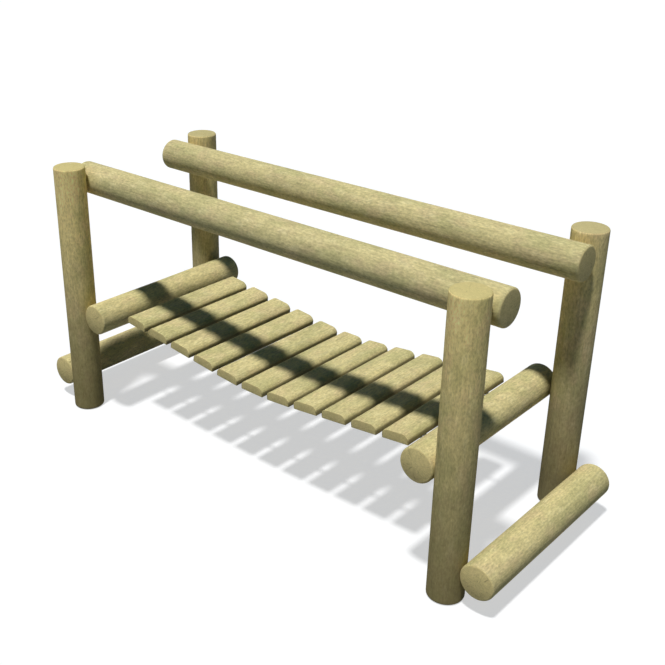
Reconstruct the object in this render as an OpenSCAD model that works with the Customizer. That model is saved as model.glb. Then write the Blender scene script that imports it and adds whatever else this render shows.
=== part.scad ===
// Timber playground suspension bridge: round-log frame with a sagging plank deck on two chains.
// Millimetres, +Z up. X runs along the walkway, Y across it. Origin on the ground, midway between the posts.

/* [Logs] */
// diameter of every round log
log_d = 125; // [100:1:150]
// radius of the eased edge round each log end
log_ease = 8; // [2:0.5:14]
// depth of the scribed saddle where a log crosses a post
saddle_depth = 2; // [1:0.5:10]
// clearance kept in every wooden or steel seat
seat_gap = 0.3; // [0.2:0.05:0.5]

/* [Posts] */
// height of the posts above the ground
post_h = 1060; // [800:5:1400]
// distance between post axes along the bridge
post_span = 1836; // [1500:2:2300]
// distance between post axes across the bridge
post_gauge = 713; // [600:1:1000]

/* [Handrails] */
// height of the post tops above the tops of the handrails
rail_below = 20.5; // [0:0.5:120]
// length of handrail past the post axes
rail_over = 62; // [40:1:200]

/* [Cross logs] */
// height of the deck bearer axes above the ground
bearer_z = 441; // [300:1:600]
// length of a bearer or step log past the post axes
cross_over = 37; // [20:1:150]
// air under the step logs
step_lift = 62; // [0:1:120]

/* [Deck] */
// air between neighbouring planks
plank_gap = 24; // [12:0.5:30]
// air between an end plank and its bearer
end_gap = 33; // [20:1:60]
// thickness of a plank
plank_t = 36; // [30:1:50]
// width of the rounded upper shoulders of a plank
shoulder_w = 25; // [18:1:40]
// height of the rounded upper shoulders of a plank
shoulder_h = 17; // [6:1:18]
// distance of the plank ends inside the line of the posts' inner sides
plank_inset = 1.5; // [0:0.5:60]
// slope of the straight runs of the deck
deck_slope = 6.3; // [4:0.1:8]
// half length of the bend in the middle of the deck
bend_run = 180; // [140:5:260]

/* [Chains] */
// distance of the chains from the plank ends
chain_inset = 102.5; // [60:0.5:160]
// diameter of the wire of the links and eye screws
link_wire = 8; // [6:0.5:9]
// clear width inside a link
link_gap = 11; // [10.5:0.5:14]

/* [Eye screws] */
// height of the bearer axis above the point where an eye screw enters
anchor_drop = 21; // [0:1:35]
// least air left between the eye and the bearer log
eye_air = 4; // [2:0.5:8]
// length of shank behind the line of the bearer's inner side
eye_bite = 70; // [40:1:80]

/* [Hidden] */
$fn = 96;
log_r = log_d / 2;
// axis distance of two crossed logs, one scribed over the other
cross_gap = log_d - saddle_depth + seat_gap;
post_x = post_span / 2;
post_y = post_gauge / 2;
rail_y = post_y - cross_gap;
rail_z = post_h - rail_below - log_r;
rail_len = post_span + 2 * rail_over;
bearer_x = post_x - cross_gap;
step_x = post_x + cross_gap;
step_z = log_r + step_lift;
cross_len = post_gauge + 2 * cross_over;
// underside curve of the deck: an arc in the middle, then straight runs up to the bearers
turn_per_mm = deck_slope / bend_run;
bend_r = 180 / (PI * turn_per_mm);
face_x = bearer_x - log_r;
face_s = bend_run + (face_x - bend_r * sin(deck_slope)) / cos(deck_slope);
face_rise = bend_r * (1 - cos(deck_slope)) + (face_s - bend_run) * sin(deck_slope);
// planks share the curve between the bearers
plank_count = 11;
plank_middle = (plank_count + 1) / 2;
plank_pitch = (2 * (face_s - end_gap) + plank_gap) / plank_count;
plank_w = plank_pitch - plank_gap;
plank_len = post_gauge - log_d - 2 * plank_inset;
// arc of a shoulder, which runs level into the top of the plank
shoulder_r = (shoulder_w * shoulder_w + shoulder_h * shoulder_h) / (2 * shoulder_h);
// chains: four links to a plank, so that an upright link lies under the middle of every plank
links_per_plank = 4;
chain_y = plank_len / 2 - chain_inset;
link_w = link_gap + 2 * link_wire;
chain_drop = link_w / 2 + seat_gap;
link_pitch = plank_pitch / links_per_plank;
link_in = link_pitch * (1 + chain_drop / bend_r) + seat_gap;
// the chains meet the bearers at the eye screws, which sets the height of the whole deck
deck_low_z = bearer_z - anchor_drop + chain_drop - face_rise;
// eye screws: no wider than a link, so that they pass under the end planks
eye_r = (link_gap + link_wire) / 2;
eye_step = (link_in + link_gap) / 2 - seat_gap;
link_half = floor((face_s - eye_air - link_w / 2 - eye_step) / link_pitch);
eye_s = link_half * link_pitch + eye_step;
shank_len = face_s - eye_s - eye_r + eye_bite;
bore_d = link_wire + 2 * seat_gap;

// upright log with eased ends, standing on the origin
module log(len) {
    rotate_extrude()
        union() {
            square([log_r - log_ease, len]);
            translate([0, log_ease])
                square([log_r, len - 2 * log_ease]);
            translate([log_r - log_ease, log_ease])
                circle(log_ease);
            translate([log_r - log_ease, len - log_ease])
                circle(log_ease);
        }
}

// post cylinder enlarged by the seat clearance, used to scribe the saddles
module post_scribe(x, y) {
    translate([x, y, -log_d])
        cylinder(r = log_r + seat_gap, h = post_h + 2 * log_d);
}

module post(x, y) {
    color("BurlyWood")
        translate([x, y, 0])
            log(post_h);
}

module handrail(side) {
    color("Tan")
        difference() {
            translate([-rail_len / 2, side * rail_y, rail_z])
                rotate([0, 90, 0])
                    log(rail_len);
            post_scribe(-post_x, side * post_y);
            post_scribe(post_x, side * post_y);
        }
}

// cross log at height z, scribed to the two posts of its end
module cross_log(x, z, end) {
    difference() {
        translate([x, -cross_len / 2, z])
            rotate([-90, 0, 0])
                log(cross_len);
        post_scribe(end * post_x, -post_y);
        post_scribe(end * post_x, post_y);
    }
}

// place a child on the deck curve, s along it from the middle and drop below it
module on_deck(s, drop) {
    bent = min(abs(s), bend_run);
    turn = bent * turn_per_mm;
    rest = abs(s) - bent;
    side = s < 0 ? -1 : 1;
    run = (bend_r + drop) * sin(turn) + rest * cos(turn);
    rise = bend_r - (bend_r + drop) * cos(turn) + rest * sin(turn);
    translate([side * run, 0, deck_low_z + rise])
        rotate([0, -side * turn, 0])
            children();
}

module bearer(end) {
    color("Tan")
        difference() {
            cross_log(end * bearer_x, bearer_z, end);
            for (y = [-chain_y, chain_y])
                translate([0, y, 0])
                    on_deck(end * eye_s, chain_drop)
                        rotate([0, end * 90, 0])
                            cylinder(d = bore_d, h = eye_r + shank_len + seat_gap);
        }
}

module step_log(end) {
    color("Tan")
        cross_log(end * step_x, step_z, end);
}

// plank section standing on its flat underside, with upright sides and rounded shoulders
module plank_section() {
    union() {
        translate([-plank_w / 2, 0])
            square([plank_w, plank_t - shoulder_h]);
        translate([shoulder_w - plank_w / 2, 0])
            square([plank_w - 2 * shoulder_w, plank_t]);
        intersection() {
            translate([-plank_w / 2, 0])
                square([plank_w, plank_t]);
            for (side = [-1, 1])
                translate([side * (plank_w / 2 - shoulder_w), plank_t - shoulder_r])
                    circle(shoulder_r);
        }
    }
}

module plank(number) {
    color("Wheat")
        on_deck((number - plank_middle) * plank_pitch, 0)
            translate([0, plank_len / 2, 0])
                rotate([90, 0, 0])
                    linear_extrude(plank_len)
                        plank_section();
}

// one link: two straight sides and two half rings, lying flat along X
module link() {
    bend = (link_gap + link_wire) / 2;
    straight = link_in - link_gap;
    for (side = [-1, 1]) {
        translate([-straight / 2, side * bend, 0])
            rotate([0, 90, 0])
                cylinder(d = link_wire, h = straight);
        translate([side * straight / 2, 0, 0])
            rotate([0, 0, side * -90])
                rotate_extrude(angle = 180)
                    translate([bend, 0])
                        circle(d = link_wire);
    }
}

module chain(y) {
    color("Silver")
        translate([0, y, 0])
            for (k = [-link_half : link_half])
                on_deck(k * link_pitch, chain_drop)
                    rotate([k % 2 == 0 ? 90 : 0, 0, 0])
                        link();
}

// eye square to the last link, with a shank driven into the bearer
module eye_screw(end, y) {
    color("Gray")
        translate([0, y, 0])
            on_deck(end * eye_s, chain_drop)
                rotate([link_half % 2 == 0 ? 0 : 90, 0, 0]) {
                    rotate_extrude()
                        translate([eye_r, 0])
                            circle(d = link_wire);
                    translate([end * eye_r, 0, 0])
                        rotate([0, end * 90, 0])
                            cylinder(d = link_wire, h = shank_len);
                }
}

post(-post_x, -post_y);  // post_near_left
post(post_x, -post_y);  // post_near_right
post(-post_x, post_y);  // post_far_left
post(post_x, post_y);  // post_far_right
handrail(-1);  // handrail_near
handrail(1);  // handrail_far
bearer(-1);  // bearer_left
bearer(1);  // bearer_right
step_log(-1);  // step_log_left
step_log(1);  // step_log_right
plank(1);  // plank_01
plank(2);  // plank_02
plank(3);  // plank_03
plank(4);  // plank_04
plank(5);  // plank_05
plank(6);  // plank_06
plank(7);  // plank_07
plank(8);  // plank_08
plank(9);  // plank_09
plank(10);  // plank_10
plank(11);  // plank_11
chain(-chain_y);  // chain_near
chain(chain_y);  // chain_far
eye_screw(-1, -chain_y);  // eye_screw_near_left
eye_screw(1, -chain_y);  // eye_screw_near_right
eye_screw(-1, chain_y);  // eye_screw_far_left
eye_screw(1, chain_y);  // eye_screw_far_right
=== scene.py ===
"""Looks of the timber playground suspension bridge: turned logs, planks, galvanised chain, staples."""
import math
import random

import bpy
from mathutils import Matrix, Vector, noise


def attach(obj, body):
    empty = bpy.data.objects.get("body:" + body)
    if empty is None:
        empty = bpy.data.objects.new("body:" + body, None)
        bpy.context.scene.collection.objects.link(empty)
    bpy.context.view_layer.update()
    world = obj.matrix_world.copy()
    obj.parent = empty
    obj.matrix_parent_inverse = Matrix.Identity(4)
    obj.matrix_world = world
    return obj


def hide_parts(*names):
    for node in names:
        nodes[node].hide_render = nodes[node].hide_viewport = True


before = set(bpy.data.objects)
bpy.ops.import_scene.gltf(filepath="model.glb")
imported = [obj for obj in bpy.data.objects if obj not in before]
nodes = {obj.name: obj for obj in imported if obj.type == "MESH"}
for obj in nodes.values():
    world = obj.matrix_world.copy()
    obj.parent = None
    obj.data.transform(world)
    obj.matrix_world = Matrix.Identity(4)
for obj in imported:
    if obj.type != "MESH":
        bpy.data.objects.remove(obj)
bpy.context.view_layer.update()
scene = bpy.context.scene

# sizes repeated from the part's source, in metres
LOG_R = 0.0625
LOG_EASE = 0.008
SEAT_GAP = 0.0003
POST_X, POST_Y, POST_H = 0.918, 0.3565, 1.060
CROSS = 2 * LOG_R - 0.002 + SEAT_GAP
RAIL_Y, RAIL_Z, RAIL_LEN = POST_Y - CROSS, 0.977, 1.960
BEARER_X, BEARER_Z = POST_X - CROSS, 0.441
STEP_X, STEP_Z = POST_X + CROSS, 0.1245
CROSS_LEN = 0.787
PLANK_T, PLANK_LEN, PLANK_GAP, END_GAP = 0.036, 0.585, 0.024, 0.033
PLANKS, PLANK_MIDDLE = 11, 6
SHOULDER_W, SHOULDER_H = 0.025, 0.017
SLOPE, BEND_RUN = math.radians(6.3), 0.180
CHAIN_Y, LINK_WIRE, LINK_GAP = 0.190, 0.008, 0.011
ANCHOR_DROP = 0.021

# forms of the looks alone: crowns of the sawn log ends, the sides of a log and the spacing of its rings
POST_CROWN, RAIL_CROWN, CROSS_CROWN = 0.004, 0.002, 0.007
LOG_SIDES = 128
RING_STEP, FINE_STEP = 0.012, 0.0025
# half depths of the unevenness of log sides, log ends and plank tops, and the wear of a tread
SIDE_UNEVEN, END_UNEVEN, TOP_UNEVEN, TREAD_WEAR = 0.00045, 0.0002, 0.0003, 0.0006

BEND_R = BEND_RUN / SLOPE
FACE_S = BEND_RUN + (BEARER_X - LOG_R - BEND_R * math.sin(SLOPE)) / math.cos(SLOPE)
FACE_RISE = BEND_R * (1 - math.cos(SLOPE)) + (FACE_S - BEND_RUN) * math.sin(SLOPE)
PLANK_PITCH = (2 * (FACE_S - END_GAP) + PLANK_GAP) / PLANKS
PLANK_W = PLANK_PITCH - PLANK_GAP
CHAIN_DROP = LINK_GAP / 2 + LINK_WIRE + SEAT_GAP
DECK_LOW = BEARER_Z - ANCHOR_DROP + CHAIN_DROP - FACE_RISE


def linear(r, g, b):
    """an sRGB colour given in 0 to 255, as linear values"""
    def one(v):
        v /= 255
        return v / 12.92 if v <= 0.04045 else ((v + 0.055) / 1.055) ** 2.4
    return (one(r), one(g), one(b), 1.0)


class Tree:
    """short hand for building a node tree"""

    def __init__(self, tree):
        self.tree = tree

    def add(self, kind, **props):
        n = self.tree.nodes.new(kind)
        for key, value in props.items():
            setattr(n, key, value)
        return n

    def put(self, socket, value):
        if isinstance(value, bpy.types.NodeSocket):
            self.tree.links.new(value, socket)
        elif value is not None:
            socket.default_value = value

    def math(self, op, a, b=None, c=None, clamp=False):
        n = self.add("ShaderNodeMath", operation=op, use_clamp=clamp)
        for socket, value in zip(n.inputs, (a, b, c)):
            self.put(socket, value)
        return n.outputs[0]

    def vector(self, op, a, b=None):
        n = self.add("ShaderNodeVectorMath", operation=op)
        self.put(n.inputs[0], a)
        self.put(n.inputs[1], b)
        return n.outputs["Value" if op in ("LENGTH", "DISTANCE", "DOT_PRODUCT") else "Vector"]

    def split(self, v):
        n = self.add("ShaderNodeSeparateXYZ")
        self.put(n.inputs[0], v)
        return n.outputs

    def join(self, x, y, z):
        n = self.add("ShaderNodeCombineXYZ")
        for socket, value in zip(n.inputs, (x, y, z)):
            self.put(socket, value)
        return n.outputs[0]

    def noise(self, v, scale=1.0, detail=2.0, rough=0.5, colour=False):
        n = self.add("ShaderNodeTexNoise")
        self.put(n.inputs["Vector"], v)
        n.inputs["Scale"].default_value = scale
        n.inputs["Detail"].default_value = detail
        n.inputs["Roughness"].default_value = rough
        return n.outputs["Color" if colour else "Fac"]

    def step(self, value, low, high):
        """smooth step from 0 at low to 1 at high"""
        n = self.add("ShaderNodeMapRange", interpolation_type="SMOOTHSTEP")
        self.put(n.inputs["Value"], value)
        n.inputs["From Min"].default_value = low
        n.inputs["From Max"].default_value = high
        return n.outputs[0]

    def range(self, value, low, high):
        """a 0 to 1 value stretched to low to high"""
        n = self.add("ShaderNodeMapRange")
        self.put(n.inputs["Value"], value)
        n.inputs["To Min"].default_value = low
        n.inputs["To Max"].default_value = high
        return n.outputs[0]

    def mix(self, fac, a, b, blend="MIX"):
        n = self.add("ShaderNodeMix", data_type="RGBA", blend_type=blend)
        self.put(n.inputs[0], fac)
        self.put(n.inputs[6], a)
        self.put(n.inputs[7], b)
        return n.outputs[2]

    def ramp(self, fac, stops):
        n = self.add("ShaderNodeValToRGB")
        self.put(n.inputs[0], fac)
        e = n.color_ramp.elements
        while len(e) < len(stops):
            e.new(1.0)
        for item, (pos, value) in zip(e, stops):
            item.position = pos
            item.color = (value, value, value, 1.0)
        return n.outputs[0]


# palette of the pressure-treated pine
STRAW = linear(214, 200, 145)
OLIVE = linear(196, 187, 133)
PINK = linear(213, 193, 146)
PALE = linear(221, 210, 161)
SAWN = linear(227, 208, 146)
LATE = linear(164, 149, 96)
CHECK = linear(84, 74, 50)
# a dark tone for dirt at the feet of posts, also used as painted shade down the posts and in the plank gaps
DIRT_AND_SHADE = linear(118, 107, 74)
WORN = linear(188, 178, 140)
# gain of the painted light on the upper sides of the posts
TOP_LIGHT_GAIN = (1.44, 1.37, 1.27, 1.0)


def timber_group():
    """solid timber: rings round a wandering pith, fibres along Z, soft mottling, drying checks, end grain"""
    g = bpy.data.node_groups.new("timber", "ShaderNodeTree")
    for name, kind in (("Vector", "Vector"), ("Normal", "Vector"), ("Pith", "Vector"), ("Seed", "Float")):
        g.interface.new_socket(name, in_out="INPUT", socket_type="NodeSocket" + kind)
    for name, kind in (("Color", "Color"), ("Roughness", "Float"), ("Height", "Float")):
        g.interface.new_socket(name, in_out="OUTPUT", socket_type="NodeSocket" + kind)
    t = Tree(g)
    inp, out = t.add("NodeGroupInput"), t.add("NodeGroupOutput")
    p, seed = inp.outputs["Vector"], inp.outputs["Seed"]
    moved = t.vector("ADD", p, t.join(seed, t.math("MULTIPLY", seed, 1.7), t.math("MULTIPLY", seed, 0.6)))

    def along(across, length, detail=2.0, rough=0.5):
        """noise stretched along the grain, by its repeats in a metre across and along"""
        return t.noise(t.vector("MULTIPLY", moved, (across, across, length)), 1.0, detail, rough)

    # growth rings
    year = 0.0046
    z = t.split(moved)[2]
    sway = t.noise(t.join(seed, 3.1, t.math("MULTIPLY", z, 1.3)), 1.0, 1.0, 0.5, colour=True)
    sway = t.vector("MULTIPLY", t.vector("SUBTRACT", sway, (0.5, 0.5, 0.5)), (0.030, 0.030, 0.0))
    qx, qy, _ = t.split(t.vector("SUBTRACT", t.vector("SUBTRACT", p, inp.outputs["Pith"]), sway))
    radius = t.vector("LENGTH", t.join(qx, qy, 0.0))
    wave = t.math("MULTIPLY", t.math("SUBTRACT", along(16.0, 2.2, 3.0), 0.5), 0.009)
    turn = t.math("FRACT", t.math("DIVIDE", t.math("ADD", radius, wave), year))
    late = t.ramp(turn, ((0.0, 0.25), (0.10, 0.0), (0.55, 0.10), (0.86, 0.85), (0.94, 1.0), (1.0, 0.25)))

    # fibres, pores and soft patches
    fibre = along(190.0, 19.0, 4.0, 0.62)
    fleck = along(150.0, 75.0, 3.0, 0.6)
    pores = along(900.0, 90.0, 3.0, 0.6)
    mottle = along(42.0, 20.0, 4.0, 0.62)
    patch = along(12.0, 6.0, 2.0)
    aside = t.vector("ADD", t.vector("MULTIPLY", moved, (19.0, 19.0, 10.0)), (7.0, 3.0, 5.0))
    blush = t.noise(aside, 1.0, 2.0)

    # hair-fine drying checks along the grain, and radial ones in the ends
    end = t.step(t.math("ABSOLUTE", t.split(inp.outputs["Normal"])[2]), 0.55, 0.85)
    crack_line = t.math("ABSOLUTE", t.math("SUBTRACT", along(60.0, 1.6, 2.0), 0.5))
    crack_mask = t.step(along(11.0, 3.0, 1.0), 0.55, 0.66)
    side_check = t.math("MULTIPLY", t.step(crack_line, 0.0060, 0.0010), crack_mask)
    side_check = t.math("MULTIPLY", side_check, t.math("SUBTRACT", 1.0, end))
    angle = t.math("ARCTAN2", qy, qx)
    around = [t.math("MULTIPLY", t.math(op, angle), 2.6) for op in ("COSINE", "SINE")]
    outward = t.math("ADD", seed, t.math("MULTIPLY", radius, 3.0))
    spoke = t.noise(t.join(*around, outward), 1.0, 3.0)
    spoke = t.step(t.math("ABSOLUTE", t.math("SUBTRACT", spoke, 0.5)), 0.006, 0.001)
    reach = t.math("MULTIPLY", t.step(radius, 0.004, 0.012), t.step(radius, 0.062, 0.036))
    spoke = t.math("MULTIPLY", spoke, reach)
    check = t.math("MAXIMUM", t.math("MULTIPLY", side_check, 0.7), t.math("MULTIPLY", spoke, end))

    # colour
    colour = t.mix(t.step(patch, 0.38, 0.64), STRAW, OLIVE)
    colour = t.mix(t.math("MULTIPLY", t.step(blush, 0.46, 0.70), 0.65), colour, PINK)
    colour = t.mix(t.math("MULTIPLY", t.step(mottle, 0.50, 0.72), 0.40), colour, PALE)
    colour = t.mix(t.math("MULTIPLY", end, 0.65), colour, SAWN)
    colour = t.mix(t.math("MULTIPLY", late, t.range(end, 0.10, 0.24)), colour, LATE)
    grain = t.math("ADD", t.range(fibre, -0.32, 0.32), t.range(pores, -0.16, 0.16))
    grain = t.math("ADD", grain, t.range(fleck, -0.52, 0.52))
    shade = t.math("MULTIPLY_ADD", grain, t.range(end, 1.0, 0.5), 1.0)
    shade = t.math("MULTIPLY", shade, t.range(mottle, 0.87, 1.13))
    colour = t.mix(1.0, colour, t.join(shade, shade, shade), "MULTIPLY")
    colour = t.mix(t.math("MULTIPLY", check, 0.6), colour, CHECK)
    t.put(out.inputs["Color"], colour)

    t.put(out.inputs["Roughness"], t.math("ADD", t.range(fibre, 0.68, 0.88), t.math("MULTIPLY", end, 0.10)))
    high = t.math("ADD", t.math("MULTIPLY", fibre, 0.9), t.math("MULTIPLY", pores, 0.35))
    high = t.math("ADD", high, t.math("MULTIPLY", late, 0.12))
    t.put(out.inputs["Height"], t.math("SUBTRACT", high, t.math("MULTIPLY", check, 1.2)))
    return g


TIMBER = timber_group()


def timber(name, seed, pith, tone, foot=0.0, tread=0.0):
    """timber of one piece with its own grain and tone; foot puts dirt and painted shade low on a post and
    painted light on its upper sides, tread wears a plank and paints shade in its gaps
    """
    m = bpy.data.materials.new(name)
    m.use_nodes = True
    t = Tree(m.node_tree)
    shader = m.node_tree.nodes["Principled BSDF"]
    place = t.add("ShaderNodeTexCoord")
    wood = t.add("ShaderNodeGroup", node_tree=TIMBER)
    t.put(wood.inputs["Vector"], place.outputs["Object"])
    t.put(wood.inputs["Normal"], place.outputs["Normal"])
    wood.inputs["Pith"].default_value = pith
    wood.inputs["Seed"].default_value = seed
    colour, rough = wood.outputs["Color"], wood.outputs["Roughness"]
    x, y, z = t.split(place.outputs["Object"])
    if foot:
        # dirt at the ground and painted shade darkening the post down towards its foot, painted light
        # brightening the sides towards the top, a duller sawn top
        cloud = t.noise(place.outputs["Object"], 11.0, 4.0, 0.6)
        soft = t.math("MULTIPLY", t.math("SUBTRACT", cloud, 0.5), 0.35)
        rise = t.math("ADD", z, soft)
        colour = t.mix(t.math("MULTIPLY", t.step(rise, 0.85, -0.10), foot), colour, DIRT_AND_SHADE)
        cap = t.step(t.split(place.outputs["Normal"])[2], 0.55, 0.85)
        # painted light: the sides of a post made lighter towards the top, leaving out its top face
        painted_top_light = t.math("MULTIPLY", t.step(rise, 0.30, 1.10), t.range(cap, 1.0, 0.0))
        colour = t.mix(1.0, colour, t.mix(painted_top_light, (1, 1, 1, 1), TOP_LIGHT_GAIN), "MULTIPLY")
        colour = t.mix(t.math("MULTIPLY", cap, 0.5), colour, OLIVE)
    if tread:
        # a trodden middle, and painted shade deep in the gaps between planks
        walked = t.noise(t.vector("MULTIPLY", place.outputs["Object"], (60.0, 60.0, 14.0)), 1.0, 4.0, 0.7)
        walked = t.math("MULTIPLY", t.step(walked, 0.50, 0.68), t.step(t.math("ABSOLUTE", z), 0.24, 0.06))
        colour = t.mix(t.math("MULTIPLY", walked, tread), colour, WORN)
        rough = t.math("SUBTRACT", rough, t.math("MULTIPLY", walked, 0.08))
        edge = PLANK_W / 2
        # painted shade on the lower plank sides inside the gaps
        gap_shade = t.step(t.math("ABSOLUTE", x), edge - 0.006, edge - 0.001)
        gap_shade = t.math("MULTIPLY", gap_shade, t.step(y, 0.024, 0.012))
        colour = t.mix(t.math("MULTIPLY", gap_shade, 0.70), colour, DIRT_AND_SHADE)
    colour = t.mix(1.0, colour, (*tone, 1.0), "MULTIPLY")
    t.put(shader.inputs["Base Color"], colour)
    t.put(shader.inputs["Roughness"], rough)
    shader.inputs["Specular IOR Level"].default_value = 0.04
    bump = t.add("ShaderNodeBump")
    bump.inputs["Strength"].default_value = 0.55
    bump.inputs["Distance"].default_value = 0.0011
    t.put(bump.inputs["Height"], wood.outputs["Height"])
    t.put(shader.inputs["Normal"], bump.outputs["Normal"])
    return m


def zinc():
    """hot-dip galvanised steel with spangle, dull patches and fine grit"""
    m = bpy.data.materials.new("galvanised_steel")
    m.use_nodes = True
    t = Tree(m.node_tree)
    shader = m.node_tree.nodes["Principled BSDF"]
    p = t.add("ShaderNodeTexCoord").outputs["Object"]
    cells = t.add("ShaderNodeTexVoronoi", feature="F1")
    t.put(cells.inputs["Vector"], p)
    cells.inputs["Scale"].default_value = 260.0
    spangle = t.split(cells.outputs["Color"])[0]
    dull = t.noise(p, 70.0, 4.0, 0.6)
    colour = t.mix(spangle, linear(150, 153, 155), linear(186, 189, 190))
    colour = t.mix(t.math("MULTIPLY", t.step(dull, 0.46, 0.70), 0.55), colour, linear(122, 122, 118))
    t.put(shader.inputs["Base Color"], colour)
    shader.inputs["Metallic"].default_value = 0.9
    t.put(shader.inputs["Roughness"], t.range(dull, 0.34, 0.62))
    bump = t.add("ShaderNodeBump")
    bump.inputs["Strength"].default_value = 0.25
    bump.inputs["Distance"].default_value = 0.0003
    t.put(bump.inputs["Height"], t.noise(p, 900.0, 3.0, 0.6))
    t.put(shader.inputs["Normal"], bump.outputs["Normal"])
    return m


ZINC = zinc()


def mesh_object(name, verts, faces, material, matrix):
    me = bpy.data.meshes.new(name)
    me.from_pydata(verts, [], faces)
    me.validate()
    me.polygons.foreach_set("use_smooth", [True] * len(me.polygons))
    me.set_sharp_from_angle(angle=math.radians(38))
    me.materials.append(material)
    o = bpy.data.objects.new(name, me)
    o.matrix_world = matrix
    scene.collection.objects.link(o)
    return o


def bridge(verts, faces, rows):
    """joins equal rings of vertex numbers into a skin, closed at both ends round a middle vertex"""
    for a, b in zip(rows, rows[1:]):
        n = len(a)
        for i in range(n):
            j = (i + 1) % n
            faces.append((a[i], a[j], b[j], b[i]))
    for ring, flip in ((rows[0], True), (rows[-1], False)):
        centre = sum((Vector(verts[i]) for i in ring), Vector()) / len(ring)
        verts.append(tuple(centre))
        hub = len(verts) - 1
        for i in range(len(ring)):
            j = (i + 1) % len(ring)
            faces.append((ring[j], ring[i], hub) if flip else (ring[i], ring[j], hub))


def log_rows(length, crossings, crowns):
    """insets and heights of the rings along a log: fine over the eased ends and the saddles"""
    steps = 7
    turns = [math.pi / 2 * i / steps for i in range(steps)]
    edge = [(LOG_EASE * (1 - math.sin(a)), LOG_EASE * (1 - math.cos(a))) for a in turns]
    low = crowns[0] + LOG_EASE
    high = length - crowns[1] - LOG_EASE
    count = round((high - low) / RING_STEP)
    zs = {round(low + (high - low) * i / count, 6) for i in range(count + 1)}
    for c in crossings:
        fine = [c + FINE_STEP * i for i in range(-9, 10)]
        zs.update(round(z, 6) for z in fine if low < z < high)
    body = []
    for z in sorted(zs):
        if not body or z - body[-1] > FINE_STEP / 3:
            body.append(z)
    first = [(inset, crowns[0] + z) for inset, z in edge]
    last = [(inset, length - crowns[1] - z) for inset, z in reversed(edge)]
    return first + [(0.0, z) for z in body] + last


def log_piece(node, start, along, length, crown, seed, tone=(1.0, 1.0, 1.0), posts=(), foot=0.0):
    """a turned log that stands for a CAD node, a little uneven, with saddles scribed to the posts"""
    rng = random.Random(seed)
    w = Vector(along).normalized()
    u = Vector((0, 0, 1)).cross(w) if abs(w.z) < 0.9 else Vector((1, 0, 0))
    u.normalize()
    v = w.cross(u)
    matrix = Matrix((u, v, w)).transposed().to_4x4()
    matrix.translation = Vector(start)
    inverse = matrix.inverted()
    saddles = []
    for px, py in posts:
        post_at = inverse @ Vector((px, py, start[2]))
        saddles.append((post_at, Vector((-post_at.x, -post_at.y, 0)).normalized()))
    crowns = (0.0 if foot else crown, crown)
    verts, rings = [], []
    for inset, z in log_rows(length, [s[0].z for s in saddles], crowns):
        ring = []
        for i in range(LOG_SIDES):
            a = math.tau * i / LOG_SIDES
            wobble = noise.noise(Vector((math.cos(a) * 1.4 + seed, math.sin(a) * 1.4, z * 4.0)))
            r = LOG_R - inset - SIDE_UNEVEN * (1 + wobble)
            point = Vector((r * math.cos(a), r * math.sin(a), z))
            for post_at, lead in saddles:
                gap = point - post_at
                off, run = gap.dot(lead), gap.z
                reach = LOG_R + SEAT_GAP
                if abs(run) < reach and off < math.sqrt(reach * reach - run * run):
                    point += lead * (math.sqrt(reach * reach - run * run) - off)
            verts.append(tuple(point))
            ring.append(len(verts) - 1)
        rings.append(ring)
    # end faces in narrowing rings, a little uneven and softly crowned, but for the foot of a post
    for last, height in enumerate(crowns):
        edge = rings[-1] if last else rings[0]
        for f in (0.86, 0.68, 0.48, 0.28, 0.12):
            ring = []
            for i in edge:
                q = verts[i]
                wobble = noise.noise(Vector((q[0] * f * 60 + seed, q[1] * f * 60, 1.0 * last)))
                dip = END_UNEVEN * (1 + wobble)
                dip += height * f * f
                verts.append((q[0] * f, q[1] * f, length - dip if last else dip))
                ring.append(len(verts) - 1)
            if last:
                rings.append(ring)
            else:
                rings.insert(0, ring)
    faces = []
    bridge(verts, faces, rings)
    shift = rng.uniform(0.004, 0.013)
    turn = rng.uniform(0, math.tau)
    pith = (shift * math.cos(turn), shift * math.sin(turn), 0)
    material = timber("timber_" + node, rng.uniform(1, 60), pith, tone, foot)
    o = mesh_object(node + "_log", verts, faces, material, matrix)
    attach(o, "root")
    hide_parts(node)
    return o


def deck_place(s, drop):
    """matrix on the underside curve of the deck, s along it from the middle and drop below it"""
    bent = min(abs(s), BEND_RUN)
    turn = bent / BEND_R
    rest = abs(s) - bent
    side = -1 if s < 0 else 1
    run = (BEND_R + drop) * math.sin(turn) + rest * math.cos(turn)
    rise = BEND_R - (BEND_R + drop) * math.cos(turn) + rest * math.sin(turn)
    return Matrix.Translation((side * run, 0, DECK_LOW + rise)) @ Matrix.Rotation(-side * turn, 4, "Y")


def plank_outline(inset):
    """plank section with its edges drawn in by inset; X across, Y up from the underside"""
    half, corner = PLANK_W / 2, 0.0025
    r = (SHOULDER_W ** 2 + SHOULDER_H ** 2) / (2 * SHOULDER_H)
    sweep = math.asin(SHOULDER_W / r)
    side = [(half - corner + (corner - inset) * math.sin(a), corner - (corner - inset) * math.cos(a))
            for a in [math.pi / 2 * i / 5 for i in range(6)]]
    arc = [(half - SHOULDER_W + (r - inset) * math.sin(a), PLANK_T - r + (r - inset) * math.cos(a))
           for a in [sweep * (1 - i / 14) for i in range(15)]]
    arc = [(min(x, half - inset), y) for x, y in arc]
    top = [((half - SHOULDER_W) * (1 - i / 5), PLANK_T - inset) for i in range(1, 6)]
    bottom = [((half - corner) * i / 7, inset) for i in range(7)]
    right = bottom + side + arc + top
    return right + [(-x, y) for x, y in reversed(right[1:-1])]


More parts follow.
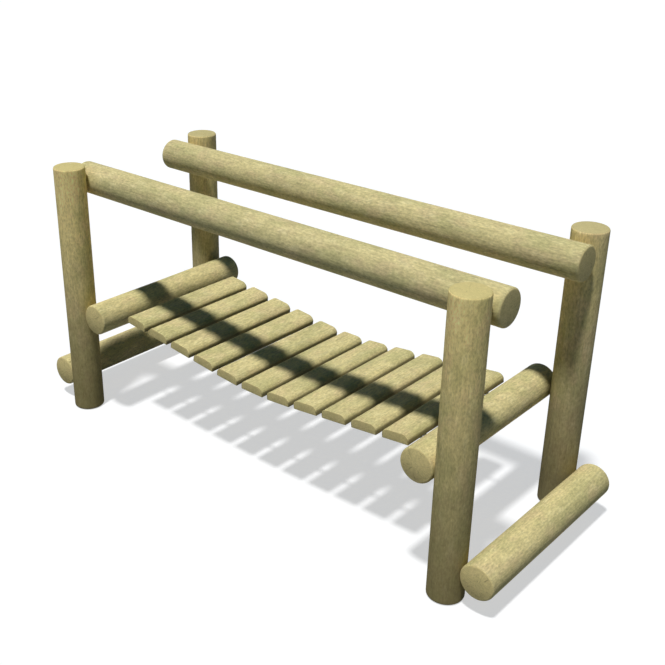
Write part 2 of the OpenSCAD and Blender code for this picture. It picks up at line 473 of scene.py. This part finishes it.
def plank_piece(number):
    """a round-shouldered plank that stands for a CAD node, with eased ends and a worn tread"""
    node = "plank_%02d" % number
    rng = random.Random(700 + number)
    ease = 0.0022
    turns = [math.pi / 2 * i / 5 for i in range(5)]
    rows = [(ease * (1 - math.sin(a)), ease * (1 - math.cos(a))) for a in turns]
    count = 30
    body = [(0.0, ease + (PLANK_LEN - 2 * ease) * i / count) for i in range(count + 1)]
    rows = rows + body + [(inset, PLANK_LEN - z) for inset, z in reversed(rows)]
    verts, rings = [], []
    for inset, z in rows:
        ring = []
        for x, y in plank_outline(inset):
            at = Vector((x * 12 + number, y * 12, z * 5))
            worn = max(0.0, y / PLANK_T - 0.8) * 5 * max(0.0, 1 - abs(z - PLANK_LEN / 2) / 0.26)
            uneven = (1 + noise.noise(at)) * (1 if y > PLANK_T / 2 else 0)
            y2 = y - TREAD_WEAR * worn - TOP_UNEVEN * uneven
            x2 = x * (1 - 0.003 * (1 + noise.noise(at + Vector((9, 0, 0)))))
            verts.append((x2, y2, z - PLANK_LEN / 2))
            ring.append(len(verts) - 1)
        rings.append(ring)
    faces = []
    bridge(verts, faces, rings)
    # mesh axes: X along the bridge, Y up, Z along the plank towards the near side
    upright = Matrix(((1, 0, 0, 0), (0, 0, -1, 0), (0, 1, 0, 0), (0, 0, 0, 1)))
    matrix = deck_place((number - PLANK_MIDDLE) * PLANK_PITCH, 0.0) @ upright
    side = rng.choice((-1, 1))
    pith = (rng.uniform(-0.045, 0.045), PLANK_T / 2 + side * rng.uniform(0.030, 0.090), 0)
    tone = rng.uniform(0.97, 1.03)
    material = timber("timber_" + node, rng.uniform(1, 60), pith, (tone, tone, 0.98 * tone), 0.0, 0.5)
    o = mesh_object(node + "_board", verts, faces, material, matrix)
    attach(o, "root")
    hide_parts(node)
    return o


def staple_piece(name, y):
    """fence staples that hold the upright link under each plank"""
    wire, half, leg = 0.0019, 0.0075, 0.010
    crown = LINK_WIRE + SEAT_GAP + 0.0022
    bend = [math.pi * i / 12 for i in range(13)]
    path = [(-half, leg)]
    path += [(-half * math.cos(a), -(crown - half) - half * math.sin(a)) for a in bend]
    path += [(half, leg)]
    verts, faces = [], []
    for number in range(1, PLANKS + 1):
        place = Matrix.Translation((0, y, 0)) @ deck_place((number - PLANK_MIDDLE) * PLANK_PITCH, 0.0)
        rings = []
        for i, (a, b) in enumerate(path):
            before, after = path[max(0, i - 1)], path[min(len(path) - 1, i + 1)]
            way = Vector((0, after[0] - before[0], after[1] - before[1])).normalized()
            flat = Vector((1, 0, 0))
            up = way.cross(flat)
            ring = []
            for k in range(10):
                turn = math.tau * k / 10
                point = Vector((0, a, b)) + wire * (math.cos(turn) * flat + math.sin(turn) * up)
                verts.append(tuple(place @ point))
                ring.append(len(verts) - 1)
            rings.append(ring)
        bridge(verts, faces, rings)
    o = mesh_object(name, verts, faces, ZINC, Matrix.Identity(4))
    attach(o, "root")
    return o


# painted light and shade: the near posts get a lighter, warmer tone for their sunlit seen side, the far posts
# a darker one for their shaded seen side
NEAR_LIT_TONE, FAR_SHADED_TONE, CROSS_TONE = (1.06, 1.03, 0.95), (0.91, 0.90, 0.91), (1.04, 1.03, 1.0)
# strength of the dirt and painted shade that darken the posts towards their feet
FOOT_DIRT_AND_SHADE = 0.76
for node, x, y, tone, seed in (("post_near_left", -POST_X, -POST_Y, NEAR_LIT_TONE, 11),
                               ("post_near_right", POST_X, -POST_Y, NEAR_LIT_TONE, 12),
                               ("post_far_left", -POST_X, POST_Y, FAR_SHADED_TONE, 13),
                               ("post_far_right", POST_X, POST_Y, FAR_SHADED_TONE, 14)):
    log_piece(node, (x, y, 0), (0, 0, 1), POST_H, POST_CROWN, seed, tone, foot=FOOT_DIRT_AND_SHADE)
for node, side, seed in (("handrail_near", -1, 21), ("handrail_far", 1, 22)):
    start = (-RAIL_LEN / 2, side * RAIL_Y, RAIL_Z)
    posts = [(x, side * POST_Y) for x in (-POST_X, POST_X)]
    log_piece(node, start, (1, 0, 0), RAIL_LEN, RAIL_CROWN, seed, posts=posts)
for node, end, x, z, seed in (("bearer_left", -1, BEARER_X, BEARER_Z, 31),
                              ("bearer_right", 1, BEARER_X, BEARER_Z, 32),
                              ("step_log_left", -1, STEP_X, STEP_Z, 33),
                              ("step_log_right", 1, STEP_X, STEP_Z, 34)):
    start = (end * x, -CROSS_LEN / 2, z)
    posts = [(end * POST_X, y) for y in (-POST_Y, POST_Y)]
    log_piece(node, start, (0, 1, 0), CROSS_LEN, CROSS_CROWN, seed, CROSS_TONE, posts)
for number in range(1, PLANKS + 1):
    plank_piece(number)
staple_piece("staples_near", -CHAIN_Y)
staple_piece("staples_far", CHAIN_Y)
for name, o in nodes.items():
    if name.startswith(("chain", "eye_screw")):
        o.data.materials.clear()
        o.data.materials.append(ZINC)


def seen_ray(t):
    """1 for rays that show a surface as it is seen: from the camera, by gloss or through glass"""
    path = t.add("ShaderNodeLightPath")
    return t.math("MAXIMUM", path.outputs["Is Camera Ray"],
                  t.math("MAXIMUM", path.outputs["Is Glossy Ray"], path.outputs["Is Transmission Ray"]))


def lit_floor():
    """white floor: diffuse for the light it sends up, pale with a soft shadow where seen, clear from below"""
    bpy.ops.mesh.primitive_plane_add(size=60, location=(0, 0, -0.0006))
    o = bpy.context.object
    o.name = "floor"
    m = bpy.data.materials.new("floor")
    m.use_nodes = True
    t = Tree(m.node_tree)
    m.node_tree.nodes.remove(m.node_tree.nodes["Principled BSDF"])
    out = m.node_tree.nodes["Material Output"]
    plain = t.add("ShaderNodeBsdfDiffuse")
    plain.inputs["Color"].default_value = (0.270, 0.270, 0.268, 1)
    soft = t.add("ShaderNodeBsdfDiffuse")
    soft.inputs["Color"].default_value = (0.46, 0.46, 0.46, 1)
    glow = t.add("ShaderNodeEmission")
    glow.inputs["Color"].default_value = (0.566, 0.566, 0.566, 1)
    both = t.add("ShaderNodeAddShader")
    t.put(both.inputs[0], soft.outputs[0])
    t.put(both.inputs[1], glow.outputs[0])
    pick = t.add("ShaderNodeMixShader")
    t.put(pick.inputs[0], seen_ray(t))
    t.put(pick.inputs[1], plain.outputs[0])
    t.put(pick.inputs[2], both.outputs[0])
    below = t.add("ShaderNodeMixShader")
    t.put(below.inputs[0], t.add("ShaderNodeNewGeometry").outputs["Backfacing"])
    t.put(below.inputs[1], pick.outputs[0])
    t.put(below.inputs[2], t.add("ShaderNodeBsdfTransparent").outputs[0])
    t.put(out.inputs["Surface"], below.outputs[0])
    o.data.materials.append(m)


def light():
    """the photo's high soft sun, a weak low fill on the far side and a faint cool sky"""
    lamps = (("sun", 3.1, 4.6, (-0.07, 0.29, -1.0)),
             ("back_fill", 0.45, 40.0, (0.55, -0.83, -0.03)))
    for name, strength, spread, way in lamps:
        lamp = bpy.data.objects.new(name, bpy.data.lights.new(name, "SUN"))
        lamp.data.energy = strength
        lamp.data.angle = math.radians(spread)
        lamp.rotation_mode = "QUATERNION"
        lamp.rotation_quaternion = Vector(way).to_track_quat("-Z", "Y")
        scene.collection.objects.link(lamp)
    world = bpy.data.worlds.new("studio")
    scene.world = world
    world.use_nodes = True
    t = Tree(world.node_tree)
    back = world.node_tree.nodes["Background"]
    t.put(back.inputs["Color"], t.mix(seen_ray(t), (0.0, 0.034, 0.074, 1), (1, 1, 1, 1)))


def camera():
    """the photo's camera, found from the outlines of the logs; the shift is the photo's off-centre crop"""
    data = bpy.data.cameras.new("photo_camera")
    data.sensor_width = 36
    data.lens = 54.11
    data.shift_x = 0.0797
    data.shift_y = -0.0260
    data.clip_end = 200
    o = bpy.data.objects.new("photo_camera", data)
    yaw, pitch = 0.74212, -0.42483
    look = Vector((-math.sin(yaw) * math.cos(pitch), math.cos(yaw) * math.cos(pitch), math.sin(pitch)))
    o.rotation_mode = "QUATERNION"
    o.rotation_quaternion = look.to_track_quat("-Z", "Y")
    o.location = (2.2525, -2.5974, 2.1333)
    scene.collection.objects.link(o)
    scene.camera = o


lit_floor()
light()
camera()
scene.view_settings.view_transform = "Standard"
